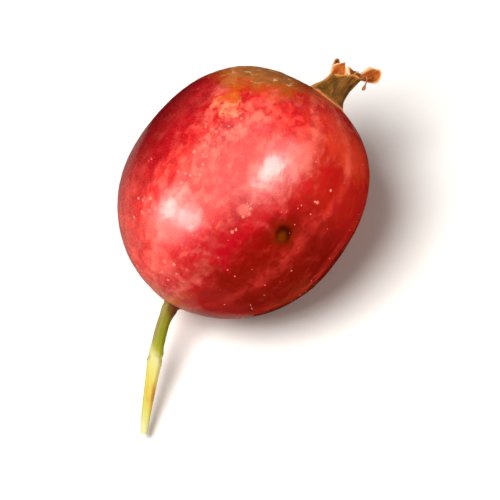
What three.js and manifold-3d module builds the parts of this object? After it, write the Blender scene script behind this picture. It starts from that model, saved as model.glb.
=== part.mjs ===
// A ripe red gooseberry lying on its side: the berry, the stalk that it hung by, and the dried
// flower at its other end. Millimetres, +Z up.
// The origin is the middle of the small flat spot that the berry rests on. Seen from above, +X runs
// along the berry's axis towards the dried flower.
//
// Each piece is modelled in the berry's own frame, and one group then lays the fruit down. In that
// frame the origin is the berry's centre, +Z is its axis towards the flower, and +X is its belly, the
// side that it lies on. A turn about the axis is counted from the belly.
import * as THREE from 'three';
import { mergeVertices } from 'three/addons/utils/BufferGeometryUtils.js';
import Module from 'manifold-3d';

const wasm = await Module();
wasm.setup();

const { clamp, degToRad, lerp, smoothstep } = THREE.MathUtils;

// ---- The fruit as a whole ----
const BERRY_LENGTH = 25;
const BERRY_DIAMETER = 22.8;
const LEAN = degToRad(20.4); // how far the flower end is raised where the berry lies
const REST_SPOT_DEPTH = 0.4; // flattened off the belly, which leaves a spot about 6 mm across
const ROOT_GAP = 0.25; // between a root and the socket that it sits in
const SWAY_TURN = degToRad(284.8); // the stalk and the flower both lean towards this side

// ---- The berry's form ----
const STALK_END_POWER = 2.02; // superellipse power: 2 is an ellipse, more is blunter
const FLOWER_END_POWER = 2.4;
const LOPSIDED = 0.03; // it swells away from the sway at the stalk end, and towards it at the other
const RIB_COUNT = 11; // faint ribs over the veins that run from end to end
const RIB_HEIGHT = 0.1;
const COLLAR_HEIGHT = 0.1; // the skin's rise round each root
const COLLAR_WIDTH = 0.6;
const TURNS = 72; // facets round the axis
const RINGS = 44; // facets from end to end
const RING_CROWDING = 0.55; // 0 spaces the rings evenly, 1 crowds them at the ends

// ---- The stalk ----
const STALK_ROOT = 1; // sunk in the berry
const STALK_OFFSET = 0.5; // its seat is this far off the axis, towards the sway
const STALK_LENGTH = 13; // outside the berry
const STALK_SWAY = 5; // how far aside its tip has bent
// How it bends: each point's share of the length, and its share of the sway.
const STALK_BEND = [[0, 0], [0.22, 0.13], [0.56, 0.5], [0.9, 1]];
const STALK_FOOT_RADIUS = 0.75;
const STALK_RADIUS = 0.6;
const STALK_TIP_RADIUS = 0.38;
const STALK_FLARE = 1.6; // the length over which the foot narrows
const STALK_SIDES = 12;
const STALK_STEPS = 36;
const JOINT_AT = 5; // from the berry to the joint that the stalk would break at
const JOINT_SWELL = 0.12;
const JOINT_WIDTH = 0.5;
// Two tiny bracts at the joint, turned about the stalk; angles in degrees.
const BRACTS = [
  { turn: -15, lean: 14, bend: 16, twist: 0, length: 1.5, width: 1.1 },
  { turn: 150, lean: 10, bend: 14, twist: 10, length: 1.2, width: 1 },
];

// ---- The dried flower ----
const FLOWER_OFFSET = 1.5;
const TUBE_ROOT = 0.5; // sunk in the berry
const TUBE_LENGTH = 2.5; // outside it
const TUBE_FOOT_RADIUS = 1.85;
const TUBE_MOUTH_RADIUS = 1.25;
const TUBE_FLOOR = 1.2; // the bottom of its hollow, above the root's end
// The tube's outline: each point's share of the height, and its share of the narrowing from the foot
// to the waist.
const TUBE_OUTLINE = [[0, 0.15], [0.12, 0], [0.22, 0.1], [0.45, 0.58], [0.75, 1], [1, 0.9]];
const TUBE_SIDES = 20;
const TUBE_TILT = degToRad(12); // at its mouth, towards the sway
const WALL = 0.62; // of the tube and of each sepal
const SEPAL_ROOT = 0.5; // how far below the mouth a sepal starts
// Sepals and bracts: how cupped they are, per mm, and how broad at the root and the tip, as a share
// of their width.
const BLADE_STEPS = 8;
const CUPPING = 0.35;
const ROOT_BREADTH = 0.6;
const TIP_BREADTH = 0.2;
// Five shrivelled sepals. Each one's turn is counted from the sway, lean is outwards at its root,
// bend and twist are what it has gained by its tip; all in degrees.
const SEPALS = [
  { turn: 0, lean: 14, bend: 30, twist: -55, length: 3.8, width: 2 },
  { turn: 72, lean: 14, bend: -30, twist: 25, length: 2.9, width: 1.5 },
  { turn: 144, lean: 4, bend: -60, twist: -20, length: 2.5, width: 1.6 },
  { turn: -144, lean: -4, bend: -18, twist: 15, length: 2.4, width: 1.7 },
  { turn: -72, lean: 2, bend: -65, twist: 30, length: 2.3, width: 1.5 },
];
const STYLE_RADIUS = 0.3;
const STYLE_SIDES = 8;
const STYLE_REACH = 1.1; // above the mouth, and aside from it
const STYLE_ASIDE = 0.8; // 0 leans it with the sway, 1 halfway between that and square to it
// The style's outline: each point's share of the height, and its share of the radius.
const STYLE_OUTLINE = [[0, 1], [0.33, 1], [0.67, 1], [0.85, 1], [0.93, 1.25], [1, 1]];

const AXIS = new THREE.Vector3(0, 0, 1);
const SWAY = new THREE.Vector3(Math.cos(SWAY_TURN), Math.sin(SWAY_TURN), 0);
const ACROSS = new THREE.Vector3().crossVectors(SWAY, AXIS); // square to the plane of the sway

// ---- Tools ----

// A closed solid from a geometry: shared corners are merged, and triangles that the merge closes
// up, as at a pole, are dropped.
function solid(geometry) {
  geometry.deleteAttribute('normal');
  geometry.deleteAttribute('uv');
  const merged = mergeVertices(geometry);
  const corners = merged.index.array;
  const triangles = [];
  for (let i = 0; i < corners.length; i += 3) {
    const [a, b, c] = corners.slice(i, i + 3);
    if (a !== b && b !== c && c !== a) triangles.push(a, b, c);
  }
  const vertProperties = merged.attributes.position.array;
  const triVerts = Uint32Array.from(triangles);
  return new wasm.Manifold(new wasm.Mesh({ numProp: 3, vertProperties, triVerts }));
}

function namedMesh(name, body, look) {
  const { vertProperties, triVerts } = body.getMesh();
  const geometry = new THREE.BufferGeometry();
  geometry.setAttribute('position', new THREE.BufferAttribute(vertProperties, 3));
  geometry.setIndex(new THREE.BufferAttribute(triVerts, 1));
  geometry.computeVertexNormals();
  const mesh = new THREE.Mesh(geometry, new THREE.MeshStandardMaterial(look));
  mesh.name = name;
  return mesh;
}

// Moves every vertex of a geometry to where place(x, y, z) puts it.
function reshape(geometry, place) {
  const position = geometry.attributes.position;
  for (let i = 0; i < position.count; i += 1) {
    const moved = place(position.getX(i), position.getY(i), position.getZ(i));
    position.setXYZ(i, moved.x, moved.y, moved.z);
  }
  return geometry;
}

// A point in the plane of the sway: so far along the axis, and so far aside.
function swayPoint(along, aside) {
  return AXIS.clone().multiplyScalar(along).addScaledVector(SWAY, aside);
}

// Bends an upright shape of revolution along a curve: its height becomes distance along the curve.
function alongCurve(profile, sides, curve) {
  const points = profile.map(([radius, height]) => new THREE.Vector2(radius, height));
  const length = curve.getLength();
  return reshape(new THREE.LatheGeometry(points, sides), (x, y, z) => {
    const share = clamp(y / length, 0, 1);
    const ahead = curve.getTangentAt(share);
    const side = new THREE.Vector3().crossVectors(ahead, ACROSS).normalize();
    const third = new THREE.Vector3().crossVectors(side, ahead);
    return curve.getPointAt(share).addScaledVector(side, x).addScaledVector(third, z);
  });
}

// A thin cupped blade, pointed at its tip. It begins at start, leaning outward from the forward
// direction, and bends and twists further towards its tip. Angles are in degrees.
function blade({ start, forward, outward, lean, bend, twist, length, width }) {
  const sideways = new THREE.Vector3().crossVectors(forward, outward);
  const angleAt = (share) => degToRad(lean + bend * share);
  const aheadAt = (share) => forward.clone().multiplyScalar(Math.cos(angleAt(share)))
    .addScaledVector(outward, Math.sin(angleAt(share)));
  const spine = [start];
  for (let step = 0; step < BLADE_STEPS; step += 1) {
    const ahead = aheadAt((step + 0.5) / BLADE_STEPS);
    spine.push(spine[step].clone().addScaledVector(ahead, length / BLADE_STEPS));
  }
  return reshape(new THREE.BoxGeometry(1, 1, 1, 4, BLADE_STEPS, 1), (x, y, z) => {
    const share = y + 0.5;
    const root = lerp(ROOT_BREADTH, 1, smoothstep(share, 0, 0.5));
    const tip = lerp(1, TIP_BREADTH, smoothstep(share, 0.45, 1.05));
    const across = x * width * root * tip;
    const turned = sideways.clone().applyAxisAngle(aheadAt(share), degToRad(twist) * share);
    const face = new THREE.Vector3().crossVectors(turned, aheadAt(share));
    const cupped = -CUPPING * across * across; // its edges turn in
    return spine[Math.round(share * BLADE_STEPS)].clone()
      .addScaledVector(turned, across).addScaledVector(face, cupped + z * WALL);
  });
}

// ---- The berry ----

function direction(polar, turn) {
  const off = Math.sin(polar);
  return new THREE.Vector3(off * Math.cos(turn), off * Math.sin(turn), Math.cos(polar));
}

// The skin's point in a direction from the berry's centre. The flower end is blunter than the stalk
// end, a low rib stands over each vein, and the skin rises in a small collar round each root.
function skinPoint(polar, turn) {
  const towards = direction(polar, turn);
  const off = Math.sin(polar);
  const power = lerp(STALK_END_POWER, FLOWER_END_POWER, smoothstep(towards.z, -1, 1));
  const round = (off / (BERRY_DIAMETER / 2)) ** power;
  const long = (Math.abs(towards.z) / (BERRY_LENGTH / 2)) ** power;
  const rib = RIB_HEIGHT * off ** 3 * (Math.cos(RIB_COUNT * turn) - 1) / 2;
  const swell = 1 + LOPSIDED * towards.z * towards.dot(SWAY);
  const point = towards.clone().multiplyScalar(swell * (round + long) ** (-1 / power) + rib);
  const atFlower = towards.z > 0;
  const rootAside = atFlower ? FLOWER_OFFSET : STALK_OFFSET;
  const collarRadius = atFlower ? TUBE_FOOT_RADIUS + ROOT_GAP : STALK_FOOT_RADIUS + ROOT_GAP;
  const fromRoot = Math.hypot(point.x - rootAside * SWAY.x, point.y - rootAside * SWAY.y);
  const rise = COLLAR_HEIGHT * Math.exp(-(((fromRoot - collarRadius) / COLLAR_WIDTH) ** 2));
  return point.addScaledVector(towards, rise);
}

function berrySkin() {
  const ball = new THREE.SphereGeometry(1, TURNS, RINGS);
  ball.rotateX(Math.PI / 2); // its poles go on the berry's axis
  return reshape(ball, (x, y, z) => {
    const even = Math.acos(clamp(z, -1, 1));
    const polar = even - (RING_CROWDING / 2) * Math.sin(2 * even);
    return skinPoint(polar, Math.atan2(y, x));
  });
}

// A round pit that a root sits in, cut from bottom to well outside the skin.
function socket(radius, bottom, aside, outwards) {
  const depth = 3;
  const pit = new THREE.CylinderGeometry(radius, radius, depth, 32);
  pit.rotateX(Math.PI / 2);
  const middle = swayPoint(bottom + (outwards * depth) / 2, aside);
  pit.translate(middle.x, middle.y, middle.z);
  return solid(pit);
}

// ---- Laying the fruit down ----

// Turns the berry's axis from upright to LEAN above the horizontal, towards +X.
const layDown = new THREE.Matrix4().makeRotationY(Math.PI / 2 - LEAN);

// The lowest point of the skin once the berry lies down; it is on the belly's meridian.
function lowestSkinPoint() {
  let lowest = new THREE.Vector3();
  const steps = 3600;
  for (let step = 0; step <= steps; step += 1) {
    const point = skinPoint((step / steps) * Math.PI, 0).applyMatrix4(layDown);
    if (point.z < lowest.z) lowest = point;
  }
  return lowest;
}

const lowest = lowestSkinPoint();
const restHeight = lowest.z + REST_SPOT_DEPTH;
layDown.premultiply(new THREE.Matrix4().makeTranslation(-lowest.x, 0, -restHeight));

// What is cut off below the surface that the berry lies on, in the berry's own frame.
function belowTheSurface() {
  const slab = new THREE.BoxGeometry(BERRY_LENGTH * 2, BERRY_LENGTH * 2, 4);
  slab.translate(0, 0, -2);
  slab.applyMatrix4(layDown.clone().invert());
  return solid(slab);
}

const flowerEnd = skinPoint(Math.atan2(FLOWER_OFFSET, BERRY_LENGTH / 2), SWAY_TURN).z;
const stalkEnd = skinPoint(Math.PI - Math.atan2(STALK_OFFSET, BERRY_LENGTH / 2), SWAY_TURN).z;

function berry() {
  const stalkSocket = socket(
    STALK_FOOT_RADIUS + ROOT_GAP, stalkEnd + STALK_ROOT + ROOT_GAP, STALK_OFFSET, -1);
  const flowerSocket = socket(
    TUBE_FOOT_RADIUS + ROOT_GAP, flowerEnd - TUBE_ROOT - ROOT_GAP, FLOWER_OFFSET, 1);
  return solid(berrySkin()).subtract(stalkSocket).subtract(flowerSocket).subtract(belowTheSurface());
}

// ---- The stalk ----

function stalk() {
  const base = stalkEnd + STALK_ROOT;
  const bends = STALK_BEND.map(([along, aside]) => (
    swayPoint(stalkEnd - along * STALK_LENGTH, STALK_OFFSET + aside * STALK_SWAY)));
  const curve = new THREE.CatmullRomCurve3([swayPoint(base, STALK_OFFSET), ...bends]);
  const length = curve.getLength();
  const profile = [[0, 0]];
  for (let step = 0; step <= STALK_STEPS; step += 1) {
    const height = (step / STALK_STEPS) * length;
    const outside = height - STALK_ROOT;
    const foot = lerp(STALK_FOOT_RADIUS, STALK_RADIUS, smoothstep(outside, 0, STALK_FLARE));
    const taper = smoothstep(outside, JOINT_AT, STALK_LENGTH);
    const joint = JOINT_SWELL * Math.exp(-(((outside - JOINT_AT) / JOINT_WIDTH) ** 2));
    profile.push([lerp(foot, STALK_TIP_RADIUS, taper) + joint, height]);
  }
  profile.push([0, length]);
  let body = solid(alongCurve(profile, STALK_SIDES, curve));
  const share = (STALK_ROOT + JOINT_AT) / length;
  const ahead = curve.getTangentAt(share);
  const sideways = new THREE.Vector3().crossVectors(ahead, ACROSS);
  for (const bract of BRACTS) {
    const outward = sideways.clone().applyAxisAngle(ahead, degToRad(bract.turn));
    const start = curve.getPointAt(share).addScaledVector(outward, STALK_RADIUS / 2);
    body = body.add(solid(blade({ ...bract, start, forward: ahead, outward })));
  }
  return body;
}

// ---- The dried flower ----

function driedFlower() {
  const foot = flowerEnd - TUBE_ROOT;
  const reach = TUBE_ROOT + TUBE_LENGTH;
  const curve = new THREE.QuadraticBezierCurve3(
    swayPoint(foot, FLOWER_OFFSET),
    swayPoint(foot + reach / 2, FLOWER_OFFSET),
    swayPoint(foot + reach, FLOWER_OFFSET + (reach / 2) * Math.tan(TUBE_TILT)),
  );
  const length = curve.getLength();
  const outside = TUBE_OUTLINE.map(([share, narrowing]) => (
    [lerp(TUBE_FOOT_RADIUS, TUBE_MOUTH_RADIUS, narrowing), share * length]));
  const [rim] = outside.at(-1);
  const bore = TUBE_MOUTH_RADIUS - WALL;
  const profile = [[0, 0], ...outside, [rim - WALL, length], [bore, TUBE_FLOOR], [0, TUBE_FLOOR]];
  let body = solid(alongCurve(profile, TUBE_SIDES, curve));

  const mouth = curve.getPointAt(1);
  const forward = curve.getTangentAt(1);
  const towardsSway = new THREE.Vector3().crossVectors(forward, ACROSS);
  for (const { turn, ...form } of SEPALS) {
    const outward = towardsSway.clone().applyAxisAngle(forward, degToRad(turn));
    const start = mouth.clone().addScaledVector(outward, TUBE_MOUTH_RADIUS - WALL / 2)
      .addScaledVector(forward, -SEPAL_ROOT);
    body = body.add(solid(blade({ start, forward, outward, ...form })));
  }
  return body.add(style(curve));
}

// The style stands up from the floor of the tube's hollow and leans out over its rim.
function style(tube) {
  const floor = TUBE_FLOOR / tube.getLength();
  const root = tube.getPointAt(0.8 * floor);
  const mouth = tube.getPointAt(1);
  const lean = SWAY.clone().addScaledVector(ACROSS, STYLE_ASIDE).normalize();
  const tip = mouth.clone().addScaledVector(AXIS, STYLE_REACH).addScaledVector(lean, STYLE_REACH);
  const curve = new THREE.CatmullRomCurve3([root, mouth, tip]);
  const length = curve.getLength();
  const outline = STYLE_OUTLINE.map(([share, thickness]) => [thickness * STYLE_RADIUS, share * length]);
  return solid(alongCurve([[0, 0], ...outline, [0, length]], STYLE_SIDES, curve));
}

// ---- The fruit ----

const fruit = new THREE.Group();
fruit.applyMatrix4(layDown);
fruit.add(
  namedMesh('berry', berry(), { color: 0xb3202a, roughness: 0.3, metalness: 0 }),
  namedMesh('stalk', stalk(), { color: 0xb9b45a, roughness: 0.7, metalness: 0 }),
  namedMesh('dried_flower', driedFlower(), { color: 0x8a5a2a, roughness: 0.9, metalness: 0 }),
);

const gooseberry = new THREE.Group();
gooseberry.add(fruit);
export default gooseberry;
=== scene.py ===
# %% [markdown]
# # A ripe red gooseberry
# The frame holds the plain solids: a berry that lies on a small flat spot, the stalk that it hung by,
# and the dried flower at its other end. This notebook builds what the eye sees around them: the skin
# with its veins, mottling and small scars, a ridged stalk that ran dry at its joint, and a papery
# flower. We start by loading the frame.

# %% Load the frame
import math
import random
from types import SimpleNamespace

import bpy
import numpy as np
from mathutils import Matrix, Vector, bvhtree


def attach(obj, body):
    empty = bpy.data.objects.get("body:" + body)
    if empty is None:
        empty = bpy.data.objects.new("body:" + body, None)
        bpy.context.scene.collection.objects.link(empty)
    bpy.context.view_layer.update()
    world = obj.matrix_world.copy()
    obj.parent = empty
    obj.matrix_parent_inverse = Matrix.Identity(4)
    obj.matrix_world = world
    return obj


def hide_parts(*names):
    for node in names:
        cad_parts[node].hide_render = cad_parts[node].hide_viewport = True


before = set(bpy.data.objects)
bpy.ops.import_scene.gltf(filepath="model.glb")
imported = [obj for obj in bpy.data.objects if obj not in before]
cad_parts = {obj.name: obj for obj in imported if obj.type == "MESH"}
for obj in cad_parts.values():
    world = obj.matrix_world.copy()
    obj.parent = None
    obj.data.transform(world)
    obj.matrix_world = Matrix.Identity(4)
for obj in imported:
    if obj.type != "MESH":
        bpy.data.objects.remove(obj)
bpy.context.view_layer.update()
MM = 0.001

# %% [markdown]
# ## Directions
# A fruit has its own directions: along its axis from stalk to flower, and round that axis. The berry
# lies with its flower end raised, and its stalk and flower both lean to one side, which we call the
# sway. With these three arrows and the berry's centre, every place on the fruit is three numbers in
# millimetres, and the same three arrows later centre and turn the skin's pattern.

# %% The berry's own directions
LEAN = math.radians(20.4)
SWAY_TURN = math.radians(284.8)
CENTRE = Vector((0.802, 0, 11.217)) * MM

AXIS = Vector((math.cos(LEAN), 0, math.sin(LEAN)))
BELLY = Vector((math.sin(LEAN), 0, -math.cos(LEAN)))
SIDE = AXIS.cross(BELLY)
SWAY = BELLY * math.cos(SWAY_TURN) + SIDE * math.sin(SWAY_TURN)
ACROSS = SWAY.cross(AXIS)
OWN_TURN = Matrix((ACROSS, SWAY, AXIS)).transposed()


def place(across, sway, along):
    """The point so many millimetres from the berry's centre in its own three directions."""
    return CENTRE + OWN_TURN @ Vector((across, sway, along)) * MM


def own(spot):
    """A point's three numbers in the berry's own directions, in millimetres."""
    return OWN_TURN.transposed() @ (spot - CENTRE) / MM


print("axis", [round(x, 3) for x in AXIS], "sway", [round(x, 3) for x in SWAY])

# %% [markdown]
# ## Camera
# The fruit is seen from above at 65 degrees, with its axis running up to the right. A long lens from
# 40 cm away keeps the berry's outline true. It aims a little below the berry, where the stalk hangs.

# %% Camera
AZIMUTH = math.radians(307.2)
ELEVATION = math.radians(65)
DISTANCE = 0.4
VIEW_WIDTH = 48.6 * MM
AIM_RIGHT, AIM_DOWN = 0.9 * MM, 5.3 * MM
SENSOR = 36.0
NEAREST_SEEN = 0.01

toward_camera = Vector((
    math.sin(AZIMUTH) * math.cos(ELEVATION),
    -math.cos(AZIMUTH) * math.cos(ELEVATION),
    math.sin(ELEVATION),
))
view_right = Vector((math.cos(AZIMUTH), math.sin(AZIMUTH), 0))
view_up = toward_camera.cross(view_right)
aim = CENTRE + view_right * AIM_RIGHT - view_up * AIM_DOWN

bpy.ops.object.camera_add(location=aim + toward_camera * DISTANCE)
camera = bpy.context.object
camera.name = "camera"
camera.rotation_mode = "QUATERNION"
camera.rotation_quaternion = toward_camera.to_track_quat("Z", "Y")
camera.data.sensor_width = SENSOR
camera.data.lens = SENSOR * DISTANCE / VIEW_WIDTH
camera.data.clip_start = NEAREST_SEEN
bpy.context.scene.camera = camera
print("lens", round(camera.data.lens), "mm")

# %% [markdown]
# ## Node arithmetic
# A material is a sum of masks, and sums read best as sums. One small class holds a socket, and
# arithmetic on it adds Math nodes. Every other node comes from one method.

# %% The Ink class
class Ink:
    """A socket of a material. Arithmetic on it adds Math nodes; node() adds any other."""

    def __init__(self, tree, socket=None):
        self.tree = tree
        self.socket = socket

    def node(self, kind, settings=None, inputs=None, out=0):
        made = self.tree.nodes.new("ShaderNode" + kind)
        for name, value in (settings or {}).items():
            if name == "stops":
                set_stops(made.color_ramp, value)
            else:
                setattr(made, name, value)
        for name, value in (inputs or {}).items():
            if isinstance(value, Ink):
                self.tree.links.new(value.socket, made.inputs[name])
            else:
                made.inputs[name].default_value = value
        return Ink(self.tree, made.outputs[out])

    def maths(self, operation, *others):
        return self.node("Math", {"operation": operation}, dict(enumerate([self, *others])))

    def __add__(self, other):
        return self.maths("ADD", other)

    def __sub__(self, other):
        return self.maths("SUBTRACT", other)

    def __rsub__(self, other):
        return self.node("Math", {"operation": "SUBTRACT"}, {0: other, 1: self})

    def __mul__(self, other):
        return self.maths("MULTIPLY", other)

    def __truediv__(self, other):
        return self.maths("DIVIDE", other)

    def __pow__(self, other):
        return self.maths("POWER", other)

    __radd__ = __add__
    __rmul__ = __mul__


def set_stops(ramp, stops):
    """Fills a colour ramp from a list of (position, colour)."""
    while len(ramp.elements) > 1:
        ramp.elements.remove(ramp.elements[-1])
    ramp.elements[0].position, ramp.elements[0].color = stops[0]
    for position, tint in stops[1:]:
        ramp.elements.new(position).color = tint


# %% Brushes made of it
def colour(red, green, blue):
    """A colour from its three 0 to 255 screen values."""
    def linear(level):
        level /= 255
        return level / 12.92 if level <= 0.04045 else ((level + 0.055) / 1.055) ** 2.4
    return linear(red), linear(green), linear(blue), 1.0


def fade(value, low, high):
    """0 below low and 1 above high, with a soft change between; low may be the greater."""
    return value.node("MapRange", {"interpolation_type": "SMOOTHSTEP"},
                      {"Value": value, "From Min": low, "From Max": high})


def blend(under, over, share):
    """The colour under, with so much of the colour over laid on it."""
    return share.node("Mix", {"data_type": "RGBA"}, {0: share, 6: under, 7: over}, out=2)


def coats(ground, *layers):
    """A colour with (colour, share) layers laid on it one after another."""
    for over, share in layers:
        ground = blend(ground, over, share)
    return ground


def grain(point, scale, detail=2.0, roughness=0.5, distortion=0.0):
    """Cloudy noise from 0 to 1, with so many clouds to a millimetre."""
    return point.node("TexNoise", None, {
        "Vector": point, "Scale": scale, "Detail": detail,
        "Roughness": roughness, "Distortion": distortion,
    })


def swing(clouds, reach):
    """Clouds from 0 to 1 as a push of up to half the reach either way."""
    return (clouds - 0.5) * reach


def stretch(point, factors):
    """A point with its three numbers multiplied."""
    return point.node("VectorMath", {"operation": "MULTIPLY"}, {0: point, 1: factors})


def away(point, centre, radii=(1, 1, 1)):
    """The distance from a centre, where 1 is the edge of an ellipsoid of these radii."""
    apart = point.node("VectorMath", {"operation": "SUBTRACT"}, {0: point, 1: centre})
    scaled = stretch(apart, [1 / radius for radius in radii])
    return scaled.node("VectorMath", {"operation": "LENGTH"}, {0: scaled}, out="Value")


def parts_of(point):
    """The three numbers of a point."""
    split = point.node("SeparateXYZ", None, {"Vector": point})
    return [Ink(point.tree, output) for output in split.socket.node.outputs]


# %% The first and the last nodes
def new_ink(name):
    """An empty material's first brush, and the material."""
    material = bpy.data.materials.new(name)
    material.use_nodes = True
    material.node_tree.nodes.clear()
    return Ink(material.node_tree), material


def bump(height, strength, depth):
    """A surface relief from a height, depth in millimetres."""
    return height.node("Bump", None, {"Height": height, "Strength": strength, "Distance": depth * MM})


def show(ink, inputs, flesh=None):
    """The last two nodes: the shader with its inputs, and the output. flesh is how much light sinks
    in, how far red, green and blue spread there, and the scale of that spread in millimetres."""
    if flesh:
        weight, spread, scale = flesh
        inputs.update({"Subsurface Weight": weight, "Subsurface Radius": spread,
                       "Subsurface Scale": scale * MM})
    shader = ink.node("BsdfPrincipled", None, inputs)
    output = ink.tree.nodes.new("ShaderNodeOutputMaterial")
    ink.tree.links.new(shader.socket, output.inputs["Surface"])


def paint(material, *pieces):
    """Gives the pieces a material."""
    for piece in pieces:
        piece.data.materials.append(material)


print("Ink is ready")

# %% [markdown]
# ## The skin
# The skin is one closed sheet, stretched tight. A ball with its poles on the berry's axis has its
# rows of faces where the veins run, so it is the right start. It is pulled onto a copy of the frame's
# berry whose two sockets are plugged first, because on a real berry the skin runs on into the stalk
# and the flower. Then it is subdivided, so that it is round where the frame is faceted.

# %% Helpers for modelling
def alone(piece):
    """Selects one piece and makes it the active one."""
    bpy.ops.object.select_all(action="DESELECT")
    piece.select_set(True)
    bpy.context.view_layer.objects.active = piece


def edit_all():
    """Goes into edit mode with all of the active piece selected."""
    bpy.ops.object.mode_set(mode="EDIT")
    bpy.ops.mesh.select_all(action="SELECT")


def copy_of(model, name):
    """A copy of an object, with its own mesh."""
    copy = model.copy()
    copy.data = model.data.copy()
    copy.name = name
    bpy.context.collection.objects.link(copy)
    return copy


def finish(piece, kind, **settings):
    """Adds a modifier to a piece and applies it."""
    alone(piece)
    modifier = piece.modifiers.new(kind.title(), kind)
    for name, value in settings.items():
        setattr(modifier, name, value)
    bpy.ops.object.modifier_apply(modifier=modifier.name)


def round_off(piece, levels=1):
    """Subdivides a piece into a rounder one."""
    finish(piece, "SUBSURF", levels=levels, render_levels=levels)


def smooth(piece):
    """Shades a piece as one smooth surface."""
    alone(piece)
    bpy.ops.object.shade_smooth()


def pick(piece, wanted, kind="vertices"):
    """Goes into edit mode with the vertices or faces selected that wanted(place) is true for."""
    bpy.ops.object.mode_set(mode="EDIT")
    bpy.ops.mesh.select_mode(type="VERT" if kind == "vertices" else "FACE")
    bpy.ops.mesh.select_all(action="DESELECT")
    bpy.ops.object.mode_set(mode="OBJECT")
    for item in getattr(piece.data, kind):
        item.select = wanted(item.co if kind == "vertices" else item.center)
    bpy.ops.object.mode_set(mode="EDIT")


# %% A copy of the frame's berry with its sockets plugged
STALK_SEAT, STALK_HOLE = 0.5, 1.03
FLOWER_SEAT, FLOWER_HOLE = 1.5, 2.13
SOCKETS_FROM = 9.0
WELD = 0.001 * MM

mould = copy_of(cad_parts["berry"], "mould")
mould.parent = None


def in_a_socket(spot):
    across, sway, along = own(spot)
    seat, hole = (FLOWER_SEAT, FLOWER_HOLE) if along > 0 else (STALK_SEAT, STALK_HOLE)
    return math.hypot(across, sway - seat) < hole and SOCKETS_FROM < abs(along)


alone(mould)
edit_all()
bpy.ops.mesh.remove_doubles(threshold=WELD)
bpy.ops.object.mode_set(mode="OBJECT")
pick(mould, in_a_socket, "polygons")
bpy.ops.mesh.delete(type="FACE")
bpy.ops.mesh.select_mode(type="EDGE")
bpy.ops.mesh.select_all(action="SELECT")
bpy.ops.mesh.fill_holes(sides=0)
bpy.ops.object.mode_set(mode="OBJECT")
print("mould:", len(mould.data.polygons), "faces")

# %% A ball pulled onto it
SEGMENTS, RINGS = 88, 50
BALL_RADIUS = 11.6 * MM
BALL_STRETCH = (1.08, 1.0, 1.02)

bpy.ops.mesh.primitive_uv_sphere_add(
    segments=SEGMENTS, ring_count=RINGS, radius=BALL_RADIUS, location=CENTRE,
    rotation=OWN_TURN.to_euler())
skin = bpy.context.object
skin.name = "berry_flesh"
bpy.ops.object.transform_apply(location=True, rotation=True, scale=True)
edit_all()
bpy.ops.transform.resize(value=BALL_STRETCH, center_override=CENTRE)
bpy.ops.object.mode_set(mode="OBJECT")
finish(skin, "SHRINKWRAP", target=mould, wrap_method="TARGET_PROJECT")
round_off(skin, 2)
print("skin:", len(skin.data.polygons), "faces")

# %% [markdown]
# ## Scars in relief
# Three marks stand out of the smooth skin: a small round scab, a corky band beside the flower where
# the young fruit was rubbed, and a chafed spot below that band. A Displace modifier moves the skin
# along its normals, and a vertex group says where and how much. The shallow dimples all over are what
# breaks up the mirrored windows.

# %% Places on the skin
def soft_step(value, low, high):
    share = min(1.0, max(0.0, (value - low) / (high - low)))
    return share * share * (3 - 2 * share)


def surface(piece):
    """A search tree of a piece's faces."""
    return bvhtree.BVHTree.FromObject(piece, bpy.context.evaluated_depsgraph_get())


skin_faces = surface(skin)
OUTSIDE = 30.0


def facing(sway, along):
    """The skin's point and outward normal where it faces the camera at these two numbers."""
    spot, normal, _, _ = skin_faces.ray_cast(place(OUTSIDE, sway, along), -ACROSS)
    return spot, normal


SCAB = own(facing(5.52, -0.82)[0])
SCAB_HEART = own(facing(5.56, -1.2)[0])
CORK = Vector((2.4, -4.5, 10.35))
CHAFE = own(facing(-6.1, 7.2)[0])
CHAFE_FOOT = own(facing(-6.0, 6.2)[0])
CHAFE_TOP = own(facing(-7.2, 8.8)[0])
FRECKLES = own(facing(-5.2, 4.6)[0])
SCAB_RADIUS = 0.95
CORK_RADII = (4.4, 4.5, 3.0)
CHAFE_RADII = (1.5, 1.0, 1.5)
FOOT_RADII = (2.0, 1.7, 1.5)
TOP_RADII = (1.5, 1.0, 1.6)
FRECKLE_RADII = (4.0, 2.6, 4.2)
print("scab", [round(x, 2) for x in SCAB], "cork", [round(x, 2) for x in CORK])


# %% Relief
def cloud(name, size, depth=2):
    """A cloudy texture for a Displace modifier, size in millimetres."""
    texture = bpy.data.textures.new(name, "CLOUDS")
    texture.noise_scale = size * MM
    texture.noise_depth = depth
    return texture


def emboss(piece, height, mask=None, texture=None, middle=0.5):
    """Raises a piece along its normals by a height in millimetres, where mask(own point) says. With
    a texture, what is darker than the middle shade sinks."""
    settings = {"strength": height * MM, "mid_level": 0.0}
    if texture:
        settings.update(mid_level=middle, texture=texture, texture_coords="LOCAL")
    if mask:
        group = piece.vertex_groups.new(name="mask")
        for vertex in piece.data.vertices:
            share = mask(own(vertex.co))
            if share > 0:
                group.add([vertex.index], share, "REPLACE")
        settings["vertex_group"] = group.name
    finish(piece, "DISPLACE", **settings)
    if mask:
        piece.vertex_groups.clear()


# %% Where each mark is
def ellipsoid(spot, centre, radii):
    """Distance from a centre, where 1 is the edge of an ellipsoid."""
    return Vector([(a - b) / r for a, b, r in zip(spot, centre, radii)]).length


def scab_pit(spot):
    return 1 - soft_step((spot - SCAB).length / SCAB_RADIUS, 0.25, 0.95)


def scab_rim(spot):
    return max(0.0, 1 - abs((spot - SCAB).length / SCAB_RADIUS - 1.15) / 0.4)


def corky(spot):
    return 1 - soft_step(ellipsoid(spot, CORK, CORK_RADII), 0.6, 1.1)


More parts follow.
